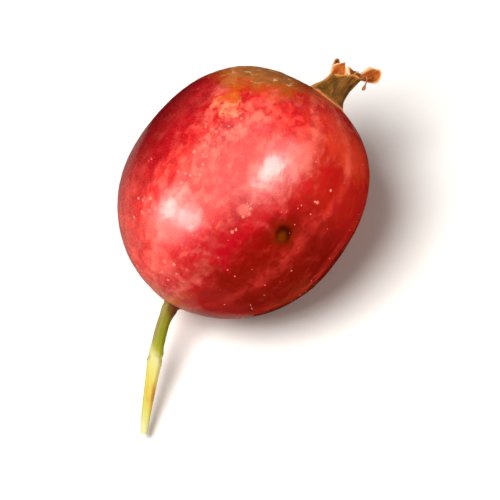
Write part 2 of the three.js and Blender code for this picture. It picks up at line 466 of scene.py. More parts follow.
def chafed(spot):
    near = min(ellipsoid(spot, CHAFE_TOP, TOP_RADII), ellipsoid(spot, CHAFE_FOOT, FOOT_RADII))
    return 1 - soft_step(near, 0.3, 1.1)


def off_the_spot(spot):
    """0 on the flat spot that the berry rests on, 1 away from it."""
    return soft_step((CENTRE + OWN_TURN @ spot * MM).z / MM, 0.05, 1.5)


RELIEF = [  # height, mask, texture, and the shade of it that neither rises nor sinks
    (0.075, off_the_spot, cloud("dimples", 2.6), 0.5),
    (0.028, off_the_spot, cloud("tissue", 0.8), 0.5),
    (-0.05, scab_pit, None, None),
    (0.04, scab_rim, None, None),
    (0.14, corky, cloud("cork", 0.8, 3), 0.42),
    (0.1, chafed, cloud("chafe", 0.6), 0.45),
]
for row in RELIEF:
    emboss(skin, *row)
smooth(skin)
bpy.data.objects.remove(mould)
skin_faces = surface(skin)
print("relief in mm:", [row[0] for row in RELIEF])

# %% [markdown]
# ## The skin's colours
# A gooseberry's skin is clear over pale veins: eleven run from end to end over the low ribs, and a
# finer net hangs between them. Seen from the axis the veins are spokes, so their pattern is made on
# a cylinder round the axis, a drum: the arctangent gives the turn for the long veins, and a stretched
# Voronoi texture's cell edges give the net, which then narrows towards both ends by itself. Clouds of
# crimson and rose mottle what lies between. All of it is one colour laid on another through a mask,
# like coats of paint, so the masks and numbers that several coats share are kept together as fields.

# %% The skin's palette
VEINS = 11
VEIN_TURN = math.radians(37)

CRIMSON = colour(196, 12, 26)
SCARLET = colour(230, 40, 34)
SALMON = colour(244, 96, 80)
VEIN = colour(254, 164, 136)
WINE = colour(168, 6, 20)
ROSE = colour(250, 124, 110)
GARNET = colour(168, 3, 20)
# a dull pink for painted shade, haze and bounce light
SHADE_AND_HAZE = colour(190, 60, 50)
FLAME = colour(236, 74, 42)
MAROON = colour(112, 3, 3)
EMBER = colour(184, 30, 6)
RIPE_AND_SHADE_RED = colour(122, 11, 1)
RIPE_AND_SHADE_VEIN = colour(228, 28, 22)
AMBER = colour(198, 84, 16)
OLIVE = colour(158, 92, 22)
RUSSET = colour(192, 106, 42)
RUSSET_PALE = colour(232, 176, 124)
TANGERINE = colour(216, 84, 6)
BUFF = colour(242, 140, 98)
SCAB_DARK = colour(54, 8, 0)
SCAB_MIDDLE = colour(112, 44, 4)
SCAB_HALO = colour(122, 22, 0)

PATCHES = [  # where the skin is paler or deeper: sway, along, the three radii, colour, share
    # painted sheen over the middle between the two highlights
    (-2.0, 1.8, (8.0, 5.5, 5.5), ROSE, 0.18),
    # painted highlight halo below and left of the left window's highlight
    (-4.8, -7.0, (5.0, 2.6, 2.4), ROSE, 0.3),
    # painted highlight halo running on from the right window's highlight
    (2.4, 6.4, (4.0, 1.6, 2.4), ROSE, 0.4),
    (-2.6, -9.9, (4.0, 2.0, 1.6), ROSE, 0.3),
    (1.2, -4.8, (4.0, 2.0, 3.4), GARNET, 0.72),
    (0.6, -0.8, (4.0, 2.0, 1.6), GARNET, 0.6),
    (-7.8, 0.6, (4.0, 1.5, 3.2), GARNET, 0.5),
    # painted shade and haze: the lower left made duller and darker
    (-6.6, -9.2, (5.0, 2.4, 2.6), SHADE_AND_HAZE, 0.5),
    # painted bounce light on the lower rim, where the key light falls off
    (5.2, -9.6, (5.0, 4.4, 2.2), SHADE_AND_HAZE, 0.12),
    (1.2, -1.0, (4.0, 0.8, 0.6), ROSE, 0.5),
    # painted haze on the left
    (-8.4, -6.2, (5.0, 1.7, 3.0), SHADE_AND_HAZE, 0.35),
    (6.2, 9.4, (7.0, 6.0, 2.6), FLAME, 0.5),
    # painted reflected light on the lower right rim
    (9.8, -6.0, (6.0, 2.6, 4.4), RUSSET, 0.09),
]
print("patches:", len(PATCHES))


# %% The fields that its coats share
DRUM_PITCH = 0.03
NEVER_ZERO = 0.01


def own_place(ink):
    """The berry's own three numbers, in millimetres, from Object coordinates."""
    spot = ink.node("TexCoord", out="Object")
    return ink.node("Mapping", {"vector_type": "TEXTURE"}, {
        "Vector": spot, "Location": CENTRE, "Rotation": OWN_TURN.to_euler(), "Scale": (MM, MM, MM)})


def skin_fields(ink):
    """Places on the berry, clouds, and masks of its riper side, whose deep red is partly painted shade,
    and of its shaded side and rim, painted darker as shade.
    """
    on = SimpleNamespace(spot=own_place(ink))
    on.across, on.sway, on.along = parts_of(on.spot)
    girth = (on.across * on.across + on.sway * on.sway) ** 0.5 + NEVER_ZERO
    on.drum = ink.node("CombineXYZ", None, {
        "X": on.across / girth, "Y": on.sway / girth, "Z": on.along * DRUM_PITCH})
    on.cloudy = grain(on.spot, 0.42, 3.0, 0.5, 0.5)
    on.streaky = grain(on.drum, 8.0, 3.0, 0.5, 0.4)
    on.tissue = grain(on.spot, 1.2, 2.0, 0.5, 0.2)
    on.edge = grain(on.spot, 0.9, 4.0, 0.6) - 0.5

    border = on.along.maths("MAXIMUM", -7.5) * 0.3
    # the riper side: its deeper red is partly real ripeness and partly painted shade
    on.turned = on.sway - border + swing(on.cloudy, 5.0) + swing(on.streaky, 3.0)
    on.right = fade(on.turned, 2.0, 5.6)
    on.ripe = on.right * (1 - fade(on.along, -0.5, 5.5) * 0.8) * (1 - fade(on.along, -8.0, -11.0) * 0.4)
    # painted shade: the shaded side and its outer rim are coloured darker
    on.shaded = fade(on.sway + swing(on.cloudy, 3.0), -6.6, -8.6) * fade(on.along, -11.0, -1.0)
    on.outer = fade(on.sway, -8.4, -10.4) * fade(on.along, -9.0, 0.0) * fade(on.along, 9.0, 5.0)
    return on


# %% Ground and veins
def ground_coats(on):
    """Clouds, streaks and tissue in scarlet and salmon, and what hides them on the riper side, deep red
    that is partly painted shade.
    """
    tone = on.cloudy * 0.44 + on.streaky * 0.28 + on.tissue * 0.28
    return [
        (SCARLET, fade(tone, 0.43, 0.55)),
        (SALMON, fade(tone, 0.49, 0.61) * 0.6),
        # the riper side, painted deeper red partly as ripeness and partly as the shade on it
        (WINE, fade(on.turned, -1.2, 2.4) * 0.75),
        (EMBER, fade(on.turned, 0.0, 3.0) * fade(on.along, 0.0, 4.0) * 0.8),
        (RIPE_AND_SHADE_RED, on.ripe * 0.96),
    ]


def net(web, scale, width):
    """Veins between the cells of a Voronoi texture."""
    cells = web.node("TexVoronoi", {"feature": "DISTANCE_TO_EDGE"}, {"Vector": web, "Scale": scale})
    return fade(cells, width, 0.0)


def vein_coats(on):
    """The long veins and the net between them, clearest on the riper flank, and painted shade over the
    shaded side and its rim.
    """
    turn = on.sway.maths("ARCTAN2", on.across)
    waver = swing(grain(on.spot, 0.16), 0.3)
    bulge = fade(on.along, 0.0, 6.0) * fade(on.along, 12.0, 8.0) * 0.2
    beat = (turn + waver - bulge - VEIN_TURN) * VEINS
    comb = beat.maths("COSINE") + swing(grain(on.spot, 0.9), 1.0)
    gaps = 0.35 + fade(grain(on.spot, 0.5), 0.38, 0.60) * 0.65
    long_vein = fade(comb, 0.45, 1.15) * gaps

    jitter = grain(on.spot, 0.5, 3.0, 0.6)
    push = jitter.node("CombineXYZ", None, {
        "X": swing(jitter, 0.16), "Y": swing(jitter, -0.16), "Z": swing(jitter, 0.1)})
    web = push.node("VectorMath", {"operation": "ADD"}, {0: stretch(on.drum, (1, 1, 1.8)), 1: push})
    side_vein = net(web, 5.2, 0.12) * fade(grain(on.spot, 0.55), 0.40, 0.64)
    on.fine_vein = net(web, 12.0, 0.15)

    flank = fade(on.sway, 2.5, 5.5) * fade(on.along, -10.0, -2.0)
    vein = blend(VEIN, RIPE_AND_SHADE_VEIN, on.right * 0.9)
    return [
        (vein, fade(comb, 0.0, 1.1) * (0.05 + flank * 0.08)),
        (vein, on.fine_vein * 0.03),
        (vein, side_vein * (0.07 + flank * 0.05)),
        (vein, long_vein * (0.19 + flank * 0.25)),
        # painted shade on the shaded side and its rim
        (WINE, on.shaded * 0.8),
        (MAROON, on.outer * 0.7),
    ]


# %% Tissue and patches
def tissue_coats(on):
    """The deep and pale cells of the tissue, the patches over them, some of which are painted light and
    shade, and the tints of the two ends.
    """
    mottle = grain(stretch(on.spot, (1.0, 1.0, 0.75)), 1.15)
    # in the painted shade the deep cells are darker and the pale cells fewer
    deep_cell = blend(blend(CRIMSON, RIPE_AND_SHADE_RED, on.ripe), MAROON, on.shaded * 0.65)
    thin = (1 - on.ripe * 0.85) * (1 - on.shaded * 0.8) * 0.3
    patches = []
    for sway, along, radii, patch, share in PATCHES:
        far = away(on.spot, own(facing(sway, along)[0]), radii)
        far = far + swing(on.cloudy, 1.4) + swing(on.tissue, 1.2)
        patches.append((patch, fade(far, 1.1, 0.4) * share))
    return [
        (deep_cell, fade(mottle, 0.51, 0.35) * 0.7),
        (blend(ROSE, RIPE_AND_SHADE_VEIN, on.right), fade(mottle, 0.52, 0.68) * thin),
        *patches,
        (BUFF, fade(on.along, -11.4, -12.5) * 0.5),
        (AMBER, fade(on.along, 11.9, 12.5) * 0.5),
    ]


# %% [markdown]
# ## Its scars' colours
# Cork is dead skin: dull, russet to olive, and cracked into paler scales. The same places that were
# raised before are painted here, and each mark keeps its mask, because the roughness and the fine
# relief follow it too.

# %% Cork, chafe and scab
def cork_coats(on):
    """The corky band beside the flower, with an amber border."""
    far = away(on.spot, CORK, CORK_RADII) + on.edge * 1.3
    on.cork = fade(far, 1.06, 0.84)
    cork = coats(
        OLIVE,
        (RUSSET, fade(grain(on.spot, 0.9, 4.0, 0.65, 0.6), 0.40, 0.64)),
        (RUSSET_PALE, fade(grain(on.spot, 1.3, 3.0, 0.6), 0.56, 0.68)),
    )
    return [(AMBER, fade(far, 1.5, 1.0) * 0.85), (cork, on.cork * 0.95)]


def chafe_coats(on):
    """The chafed spot: a russet top, a buff foot, a tangerine heart, and freckles below them."""
    on.foot = fade(away(on.spot, CHAFE_FOOT, FOOT_RADII) + on.edge * 3.4, 1.0, 0.6)
    on.top = fade(away(on.spot, CHAFE_TOP, TOP_RADII) + on.edge * 2.6, 1.2, 0.4)
    heart = fade(away(on.spot, CHAFE, CHAFE_RADII) + on.edge * 3.0, 1.1, 0.6)
    freckled = fade(away(on.spot, FRECKLES, FRECKLE_RADII), 1.1, 0.5)
    cells = grain(on.spot, 1.6, 3.0)
    return [
        (BUFF, freckled * fade(cells, 0.56, 0.66) * 0.4),
        (GARNET, freckled * fade(cells, 0.44, 0.38) * 0.6),
        (RUSSET, on.top * 0.8),
        (BUFF, on.foot * (0.45 + fade(cells, 0.40, 0.56) * 0.45)),
        (TANGERINE, heart * 0.9),
        (BUFF, heart * fade(cells, 0.58, 0.70) * 0.3),
        (OLIVE, heart * fade(grain(on.spot, 1.9), 0.44, 0.34) * 0.5),
    ]


def scab_coats(on):
    """The scab: dark, with a brown heart and a stained ring round it."""
    far = away(on.spot, SCAB) / SCAB_RADIUS + on.edge * 0.9
    on.scab = fade(far, 1.2, 0.6)
    heart = fade(away(on.spot, SCAB_HEART) + on.edge * 0.8, 0.78, 0.15)
    return [
        (SCAB_HALO, fade(far, 2.2, 0.9) * 0.8),
        (SCAB_DARK, on.scab * 0.92),
        (SCAB_MIDDLE, heart * 0.9),
    ]


# %% [markdown]
# ## The skin's shine
# Ripe skin is glossy, while cork is dull. A thin coat over a slightly rough base gives each mirrored
# window a bright middle and a soft surround. On the riper side, whose deep red is partly painted shade,
# the base is smoother and the coat thinner, which keeps the deep colour free of haze. Subsurface light
# softens it all, as the flesh does.

# %% The berry's skin
def skin_material():
    ink, material = new_ink("berry_skin")
    on = skin_fields(ink)
    skin_colour = CRIMSON
    for group in (ground_coats, vein_coats, tissue_coats, cork_coats, chafe_coats, scab_coats):
        skin_colour = coats(skin_colour, *group(on))

    rough = on.cork + on.foot * 0.4 + on.top * 0.4
    pores = grain(on.spot, 9.0, 2.0, 0.6)
    height = pores * 0.25 + grain(on.spot, 2.4) * 0.5 - on.fine_vein * 0.15
    height = height + (rough + on.scab * 0.6) * grain(on.spot, 5.0, 4.0, 0.8) * 1.6
    roughness = 0.24 + pores * 0.08 + rough.maths("MINIMUM", 1.0) * 0.3
    coated = 1 - (rough + on.scab).maths("MINIMUM", 1.0)
    show(ink, {
        "Base Color": skin_colour,
        "Roughness": roughness - on.scab * 0.06 - fade(on.turned, 0.6, 4.0) * 0.1,
        "Coat Weight": coated * (1 - on.right * 0.7) * 0.3,
        "Normal": bump(height, 0.45, 0.06),
        "IOR": 1.42, "Coat Roughness": 0.16, "Coat IOR": 1.45,
    }, flesh=(0.5, (1.0, 0.24, 0.16), 1.1))
    return material


paint(skin_material(), skin)
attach(skin, "root")
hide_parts("berry")
print("skin nodes:", len(skin.data.materials[0].node_tree.nodes))

# %% [markdown]
# ## Growing straight, then bending
# The stalk, the flower's tube and its sepals all curve. A curved piece is easiest to model straight,
# lying along X, where a ring or a row is easy to pick and to widen. Each piece first keeps its straight
# places as an attribute, so that its fibres follow it, and is then laid along its own curved spine:
# X becomes the distance along the spine, and Y and Z go to its two sides.

# %% From straight to bent
def keep_grown(piece):
    """Stores the straight places, in millimetres, for the material's fibres."""
    grown = piece.data.attributes.new("grown", "FLOAT_VECTOR", "POINT")
    places = np.array([vertex.co for vertex in piece.data.vertices]) / MM
    grown.data.foreach_set("vector", places.ravel())


def lay_along(piece, spine, sides):
    """Bends a straight piece along a spine, with Y turned to the side that sides gives there."""
    spine, sides = np.array(spine), np.array(sides)
    steps = np.linalg.norm(np.diff(spine, axis=0), axis=1)
    distance = np.concatenate([[0], np.cumsum(steps)])
    ahead = np.gradient(spine, distance, axis=0)
    ahead /= np.linalg.norm(ahead, axis=1)[:, None]
    third = np.cross(ahead, sides)
    straight = np.array([vertex.co for vertex in piece.data.vertices])

    def at(rows):
        return np.stack([np.interp(straight[:, 0], distance, rows[:, i]) for i in range(3)], axis=1)

    past = straight[:, 0] - np.clip(straight[:, 0], 0, distance[-1])
    laid = at(spine) + at(ahead) * past[:, None]
    laid += at(sides) * straight[:, 1:2] + at(third) * straight[:, 2:3]
    piece.data.vertices.foreach_set("co", laid.ravel())
    piece.data.update()


def curve_through(points, count=120):
    """Evenly many places on a smooth curve through (along, sway) points, in millimetres."""
    along, sway = np.array(points, float).T
    bend = np.polyfit(along, sway, len(points) - 1)
    rows = np.linspace(along[0], along[-1], count)
    return [place(0, float(np.polyval(bend, row)), float(row)) for row in rows]


def beside(spine):
    """For each point of a spine, the direction square to it in the plane of the sway."""
    ahead = np.gradient(np.array(spine), axis=0)
    side = np.cross(ahead, np.array(ACROSS))
    return side / np.linalg.norm(side, axis=1)[:, None]


# %% Tubes, ring by ring
def ring_on(forward, widen, at):
    """Extrudes the selected ring forward along X and then widens it about X."""
    bpy.ops.mesh.extrude_region_move(TRANSFORM_OT_translate={"value": (forward * MM, 0, 0)})
    bpy.ops.transform.resize(value=(1, widen, widen), center_override=(at * MM, 0, 0))


def ring_tube(name, sides, outline):
    """A tube round X from a list of (distance, radius), in millimetres, left in edit mode with its
    last ring selected."""
    (start, radius), *rest = outline
    bpy.ops.object.select_all(action="DESELECT")
    bpy.ops.mesh.primitive_circle_add(
        vertices=sides, radius=radius * MM, location=(start * MM, 0, 0),
        rotation=(0, math.pi / 2, 0))
    piece = bpy.context.object
    piece.name = name
    bpy.ops.object.transform_apply(location=True, rotation=True, scale=True)
    edit_all()
    for distance, wider in rest:
        ring_on(distance - start, wider / radius, distance)
        start, radius = distance, wider
    return piece


def close_ends():
    """Fills the open rings with faces, and turns all faces outwards."""
    bpy.ops.mesh.select_all(action="SELECT")
    bpy.ops.mesh.fill_holes(sides=0)
    bpy.ops.mesh.normals_make_consistent(inside=False)
    bpy.ops.object.mode_set(mode="OBJECT")


# %% [markdown]
# ## The stalk
# A gooseberry's stalk has a joint where it would part from the bush, with two tiny bracts. Here it
# is green up to the joint, which has cracked and paled, and straw coloured past it. It starts as a
# ring, is extruded ring by ring, and every third column of its sides is drawn out into a ridge. Rings
# stand close at its foot and at its joint, where its width changes fast.

# %% The stalk, straight
STALK_SIDES = 18
STALK_JOINT = 5.0
STALK_LENGTH = 13.1
STALK_RADII = 0.76, 0.58, 0.33
RIDGE_EVERY, RIDGE_FROM, RIDGE_HEIGHT = 3, 0.4, 1.16
TIP_HOLLOW = 0.22
TORN_FROM = 12.75
BARK_HEIGHT = 0.07


def stalk_radius(distance):
    """The foot widens into a fillet, and the joint is a swelling with a scar and a crack."""
    foot, middle, tip = STALK_RADII
    foot = foot + (middle - foot) * soft_step(distance, 0, 1.8)
    radius = foot + (tip - foot) * soft_step(distance, STALK_JOINT + 1.5, STALK_LENGTH + 1)
    fillet = 0.32 * max(0.0, 1 - (distance + 0.15) / 0.55) ** 2
    swelling = 0.09 * math.exp(-((distance - STALK_JOINT - 0.9) / 1.1) ** 2)
    scar = 0.05 * math.exp(-((distance - STALK_JOINT) / 0.3) ** 2)
    crack = 0.05 * math.exp(-((distance - STALK_JOINT - 0.4) / 0.13) ** 2)
    return radius + fillet + swelling + scar - crack


stalk_rows = [-0.3 + 0.15 * step for step in range(6)]
stalk_rows += [0.75 + 0.3 * step for step in range(13)]
stalk_rows += [4.5 + 0.1 * step for step in range(13)]
stalk_rows += [6.0 + 0.35 * step for step in range(19)] + [12.6, 12.9, STALK_LENGTH]
stem = ring_tube("stalk_stem", STALK_SIDES, [(row, stalk_radius(row)) for row in stalk_rows])
# the tip is torn, so it is hollow here and gets a ragged edge below
ring_on(-TIP_HOLLOW, 0.6, STALK_LENGTH - TIP_HOLLOW)
ring_on(-0.1, 0.3, STALK_LENGTH - TIP_HOLLOW - 0.1)
close_ends()


def on_ridge(spot):
    turn = math.atan2(spot.z, spot.y) / (2 * math.pi) * STALK_SIDES
    return round(turn) % RIDGE_EVERY == 0 and RIDGE_FROM * MM < spot.x


pick(stem, on_ridge)
bpy.ops.transform.resize(value=(1, RIDGE_HEIGHT, RIDGE_HEIGHT), center_override=(0, 0, 0))
bpy.ops.object.mode_set(mode="OBJECT")
stalk_draw = random.Random(11)
for vertex in stem.data.vertices:
    if vertex.co.x > TORN_FROM * MM:
        vertex.co.x += stalk_draw.uniform(-0.28, 0.12) * MM
round_off(stem)
keep_grown(stem)
emboss(stem, BARK_HEIGHT, texture=cloud("bark", 0.5, 3))
print("stalk:", len(stem.data.polygons), "faces")

# %% The stalk, bent
STALK_BEND = [(-12.48, 0.5), (-15.34, 1.12), (-19.76, 3.04), (-22.6, 4.4), (-24.6, 5.46)]

stalk_spine = curve_through(STALK_BEND)
stalk_sides = beside(stalk_spine)
lay_along(stem, stalk_spine, stalk_sides)
smooth(stem)
print("stalk tip in mm:", [round(x / MM, 1) for x in stalk_spine[-1]])

# %% [markdown]
# ## A blade for bracts, sepals and petals
# The two bracts, the five sepals and the shrivelled petals are all the same thing in other sizes: a
# small leaf, dry and curled. It is modelled once, flat, from a grid whose rows are narrowed to a
# tip. Each copy is cupped and crumpled in its own way, gets its thickness, and is laid on a spine
# that leans out of its root and bends, while its breadth faces one way at the root and twists on.

# %% The flat blade
BLADE_ROWS, BLADE_COLUMNS = 14, 8

bpy.ops.object.select_all(action="DESELECT")
bpy.ops.mesh.primitive_grid_add(x_subdivisions=BLADE_ROWS, y_subdivisions=BLADE_COLUMNS, size=1,
                                location=(0.5, 0, 0))
flat_blade = bpy.context.object
flat_blade.name = "flat_blade"
bpy.ops.object.transform_apply(location=True, rotation=True, scale=True)


def breadth_at(share):
    """How broad the flat blade is at this share of its length."""
    return (0.5 + 0.5 * soft_step(share, 0, 0.55)) * (1 - 0.82 * soft_step(share, 0.6, 1.03) ** 1.3)


for row in range(BLADE_ROWS + 1):
    share = row / BLADE_ROWS
    pick(flat_blade, lambda spot: abs(spot.x - share) < 0.01)
    bpy.ops.transform.resize(value=(1, breadth_at(share), 1), center_override=(share, 0, 0))
    bpy.ops.object.mode_set(mode="OBJECT")

# how near the rim each point is: 1 on the sides and at the tip
rim_layer = flat_blade.data.attributes.new("rim", "FLOAT", "POINT")
for vertex, nearness in zip(flat_blade.data.vertices, rim_layer.data):
    x, y, _ = vertex.co
    nearness.value = max(2 * abs(y) / breadth_at(x), x ** 6)
print("blade:", len(flat_blade.data.polygons), "faces")

# %% Copies of the blade
BLADE_STEPS = 24


def blade_spine(root, forward, outward, lean, bend, face, twist, length):
    """A spine that leans out of its root and bends, and the side that the breadth turns to on it."""
    sideways = forward.cross(outward)
    spine, sides = [root.copy()], []
    for step in range(BLADE_STEPS + 1):
        share = step / BLADE_STEPS
        angle = math.radians(lean + bend * share)
        ahead = forward * math.cos(angle) + outward * math.sin(angle)
        sides.append(-(Matrix.Rotation(math.radians(face + twist * share), 3, ahead) @ sideways))
        if step < BLADE_STEPS:
            spine.append(spine[-1] + ahead * (length / BLADE_STEPS) * MM)
    return spine, sides


def blade(name, root, forward, outward, turn, lean, bend, twist, length, width,
          face=0, taper=0, cup=0.35, crumple=0.18, thick=0.14, wave=0.12, seed=0):
    """A curled dry blade at a root, facing outward after a turn round forward. Lengths are in
    millimetres and angles in degrees, and taper narrows it towards its tip."""
    piece = copy_of(flat_blade, name)
    lilt = random.Random(seed).uniform(0, 6)
    for vertex in piece.data.vertices:
        x, y, _ = vertex.co
        across = y * width * (1 - 0.85 * x) ** taper
        fold = -cup * across * across
        vein = 0.05 * math.cos(9 * y * math.pi) * (1 - x)
        ripple = wave * math.sin(x * 9 + lilt + (1.7 if y > 0 else 0)) * (2 * y) ** 2
        vertex.co = Vector((x * length, across, fold + vein + ripple)) * MM
    keep_grown(piece)
    emboss(piece, crumple, texture=cloud(name, 0.9 + 0.05 * seed))
    finish(piece, "SOLIDIFY", thickness=thick * MM, offset=0.0)
    round_off(piece, 2)
    outward = Matrix.Rotation(math.radians(turn), 3, forward) @ outward
    spine, sides = blade_spine(root, forward, outward, lean, bend, face, twist, length)
    lay_along(piece, spine, sides)
    smooth(piece)
    return piece


# %% The two bracts at the joint
joint_at = round(STALK_JOINT / STALK_LENGTH * (len(stalk_spine) - 1))
joint_spot = stalk_spine[joint_at]
joint_ahead = (stalk_spine[joint_at + 1] - joint_spot).normalized()
joint_side = Vector(stalk_sides[joint_at])
BRACTS = [  # how far out of the stalk's middle, and the form
    (0.52, dict(turn=-15, lean=6, bend=8, twist=0, length=1.2)),
    (-0.48, dict(turn=165, lean=4, bend=10, twist=10, length=1.0)),
]

bracts = []
for number, (out, form) in enumerate(BRACTS, 1):
    bracts.append(blade(
        f"bract_{number}", joint_spot + joint_side * out * MM, joint_ahead, joint_side, seed=number,
        width=0.9, thick=0.12, crumple=0.1, wave=0.04, **form))
print("bracts:", len(bracts))

# %% [markdown]
# ## The dried flower
# What is left of the flower is a wrinkled tube, papery and brown, whose mouth is cut off at a slant.
# Five shrivelled sepals stand on its rim, and scraps of petals and stamens in its mouth, one of them
# hanging out over the rim. The tube is extruded ring by ring up its outside, over its rim and down
# its inside, so its wall is closed without a modifier. Folds run down it where the berry's veins run
# on into it.

# %% The flower's tube
TUBE_SIDES = 40
TUBE_FOOT = 12.0
TUBE_LENGTH = 3.0
TUBE_STEPS = 40
TUBE_TILT = math.radians(12)
MOUTH_RISE = 1.8
MOUTH_DROP = 0.35
WRINKLE_HEIGHT = 0.16


def mouth_rise(y):
    """How much further the tube's mouth reaches on the sway side."""
    return MOUTH_RISE * soft_step(y, -1.3, 1.3) - MOUTH_DROP


tube_outline = [
    (0.1, 2.1), (0.3, 2.12), (0.45, 2.02), (0.6, 1.9), (0.85, 1.78), (1.1, 1.64), (1.35, 1.5),
    (1.6, 1.4), (1.85, 1.32), (2.1, 1.27), (2.35, 1.24), (2.6, 1.25), (2.8, 1.29), (2.95, 1.33),
    (3.02, 1.27), (2.95, 1.16), (2.7, 1.06), (2.4, 1.0), (2.1, 0.98), (1.8, 0.92), (1.6, 0.7),
    (1.5, 0.4), (1.48, 0.12),
]
tube = ring_tube("flower_tube", TUBE_SIDES, tube_outline)
close_ends()
keep_grown(tube)
for vertex in tube.data.vertices:
    x, y, z = vertex.co / MM
    turn = math.atan2(z, y)
    fold = 0.055 * math.cos(10 * turn + 0.8 * math.sin(2 * turn + x))
    fold += 0.03 * math.cos(23 * turn + 2 * x)
    scallop = 0.12 * math.cos(5 * turn) + 0.07 * math.sin(3 * turn + 1)
    squeeze = 1 + soft_step(x, 0.25, 1.2) * fold
    lifted = x + scallop * soft_step(x, 2.2, 3.0) + mouth_rise(y) * soft_step(x, 1.0, 3.0)
    vertex.co = Vector((lifted, y * squeeze, z * squeeze)) * MM
round_off(tube)
emboss(tube, WRINKLE_HEIGHT, texture=cloud("tube", 0.7, 3))
round_off(tube)

tube_spine = []
for step in range(TUBE_STEPS + 1):
    share = step / TUBE_STEPS
    drift = share * share * TUBE_LENGTH / 2 * math.tan(TUBE_TILT)
    tube_spine.append(place(0, FLOWER_SEAT + drift, TUBE_FOOT + TUBE_LENGTH * share))
lay_along(tube, tube_spine, beside(tube_spine))
smooth(tube)
print("tube:", len(tube.data.polygons), "faces")

# %% The five sepals
mouth = tube_spine[-1]
mouth_ahead = (tube_spine[-1] - tube_spine[-2]).normalized()
mouth_side = Vector(beside(tube_spine)[-1])
RIM_RADIUS = 1.12

SEPALS = [  # turn round the rim, how far below it the root is, and the form
    (52, 0.15, dict(turn=-6, lean=56, bend=-56, face=-16, twist=-70,
                    length=2.6, width=1.9, cup=0.3)),
    (96, 0.3, dict(turn=96, lean=60, bend=25, twist=20, length=1.5, width=1.5)),
    (144, 0.35, dict(turn=144, lean=32, bend=8, twist=-20, length=2.0, width=1.4)),
    (-130, 0.35, dict(turn=-130, lean=20, bend=-6, face=26, twist=18,
                      length=1.75, width=3.0, taper=1.1, cup=0.16)),
    (-66, 0.3, dict(turn=-66, lean=-40, bend=-44, twist=20, length=1.0, width=1.9)),
]


def round_the_mouth(turn, radius, below):
    """A root on the mouth's rim, at a turn counted from the sway."""
    outward = Matrix.Rotation(math.radians(turn), 3, mouth_ahead) @ mouth_side
    below -= mouth_rise(radius * math.cos(math.radians(turn)))
    return mouth + (outward * radius - mouth_ahead * below) * MM


sepals = []
for number, (at, below, form) in enumerate(SEPALS, 1):
    root = round_the_mouth(at, RIM_RADIUS, below)
    sepals.append(blade(f"sepal_{number}", root, mouth_ahead, mouth_side, seed=number + 3, **form))
print("sepals:", len(sepals))

# %% Petal scraps
EACH_KIND = 5
PETAL_RING, PETAL_DEPTH = 0.85, 0.7

petals = []
for number in range(EACH_KIND):
    turn = (number + 0.5) * 360 / EACH_KIND
    root = round_the_mouth(turn, PETAL_RING, PETAL_DEPTH)
    petals.append(blade(
        f"petal_{number + 1}", root, mouth_ahead, mouth_side, turn,
        lean=-12, bend=-48 + 12 * number, twist=40, length=1.1, width=0.8, cup=0.6, thick=0.1,
        seed=number + 20))
print("petals:", len(petals))

# %% Stamens
THREAD_SIDES, THREAD_STEPS = 8, 16
THREAD_ROWS = [0, 0.15, 0.35, 0.55, 0.75, 0.85, 0.92, 0.97, 1.0]
STAMEN_RING, STAMEN_DEPTH = 0.7, 1.2
STAMEN_RADIUS, STAMEN_HEAD = 0.07, 2.4
STRAY_ROOT, STRAY_TIP = round_the_mouth(-24, 0.95, 0.2), place(1.2, 4.0, 15.05)
STRAY_RADIUS, STRAY_HEAD, STRAY_BOW = 0.09, 2.2, mouth_ahead * 0.85


def thread(name, root, tip, radius, head, bow):
    """A shrivelled thread from root to tip with a swollen head; bow is how far it bellies out."""
    shares = [step / THREAD_STEPS for step in range(THREAD_STEPS + 1)]
    spine = [root.lerp(tip, share) + bow * math.sin(math.pi * share) * MM for share in shares]
    length = sum((after - before).length for before, after in zip(spine, spine[1:])) / MM
    widths = [1.2, 1, 0.8, 0.9, 0.75, head, head * 1.15, head * 0.8, 0.3]
    piece = ring_tube(name, THREAD_SIDES, [
        (row * length, radius * width) for row, width in zip(THREAD_ROWS, widths)])
    close_ends()
    keep_grown(piece)
    round_off(piece)
    ahead = (tip - root).normalized()
    side = ahead.cross(AXIS if abs(ahead.dot(AXIS)) < 0.9 else SWAY).normalized()
    lay_along(piece, spine, [side] * len(spine))
    smooth(piece)
    return piece


thread_draw = random.Random(5)
threads = []
for number in range(EACH_KIND):
    turn = number * 360 / EACH_KIND + thread_draw.uniform(-20, 20)
    root = round_the_mouth(turn, STAMEN_RING, STAMEN_DEPTH)
    tip = round_the_mouth(turn + 25, thread_draw.uniform(0.3, 0.9), -thread_draw.uniform(0.0, 0.45))
    bow = mouth_side * thread_draw.uniform(-0.15, 0.15)
    threads.append(thread(f"stamen_{number + 1}", root, tip, STAMEN_RADIUS, STAMEN_HEAD, bow))
threads.append(thread(
    "stray_stamen", STRAY_ROOT, STRAY_TIP, STRAY_RADIUS, STRAY_HEAD, STRAY_BOW))
print("threads:", len(threads))

# %% [markdown]
# ## The dry pieces' finishes
# Stalk, tube and sepals are fibrous, and their fibres follow the piece. So their patterns read the
# places from before the bending: noise stretched along X gives fibres, and X itself says how far up
# the stalk a colour sits. The blades also know how near its rim each point is, where they dried out
# palest.

# %% Stalk
STALK_TONES = [  # share of its length, colour
    (0.00, (90, 40, 4)), (0.05, (98, 66, 6)),  # a brown foot
    (0.10, (112, 108, 2)), (0.28, (126, 132, 2)),  # green up to the joint
    (0.35, (152, 148, 30)), (0.43, (198, 194, 132)),  # the joint, cracked and paled
    (0.50, (202, 194, 114)), (0.60, (200, 184, 86)), (0.72, (196, 172, 68)),  # straw
    (0.84, (194, 186, 92)), (0.93, (202, 200, 136)), (1.0, (202, 198, 140)),  # a bleached tip
]
RIND_GREY = colour(148, 132, 74)
RUST = colour(178, 112, 40)
GREEN_FIBRE = colour(74, 64, 10)
STRAW_FIBRE = colour(150, 104, 44)


def straight_place(ink):
    """The places that a piece had before it was bent, in millimetres."""
    return ink.node("Attribute", {"attribute_name": "grown"}, out="Vector")


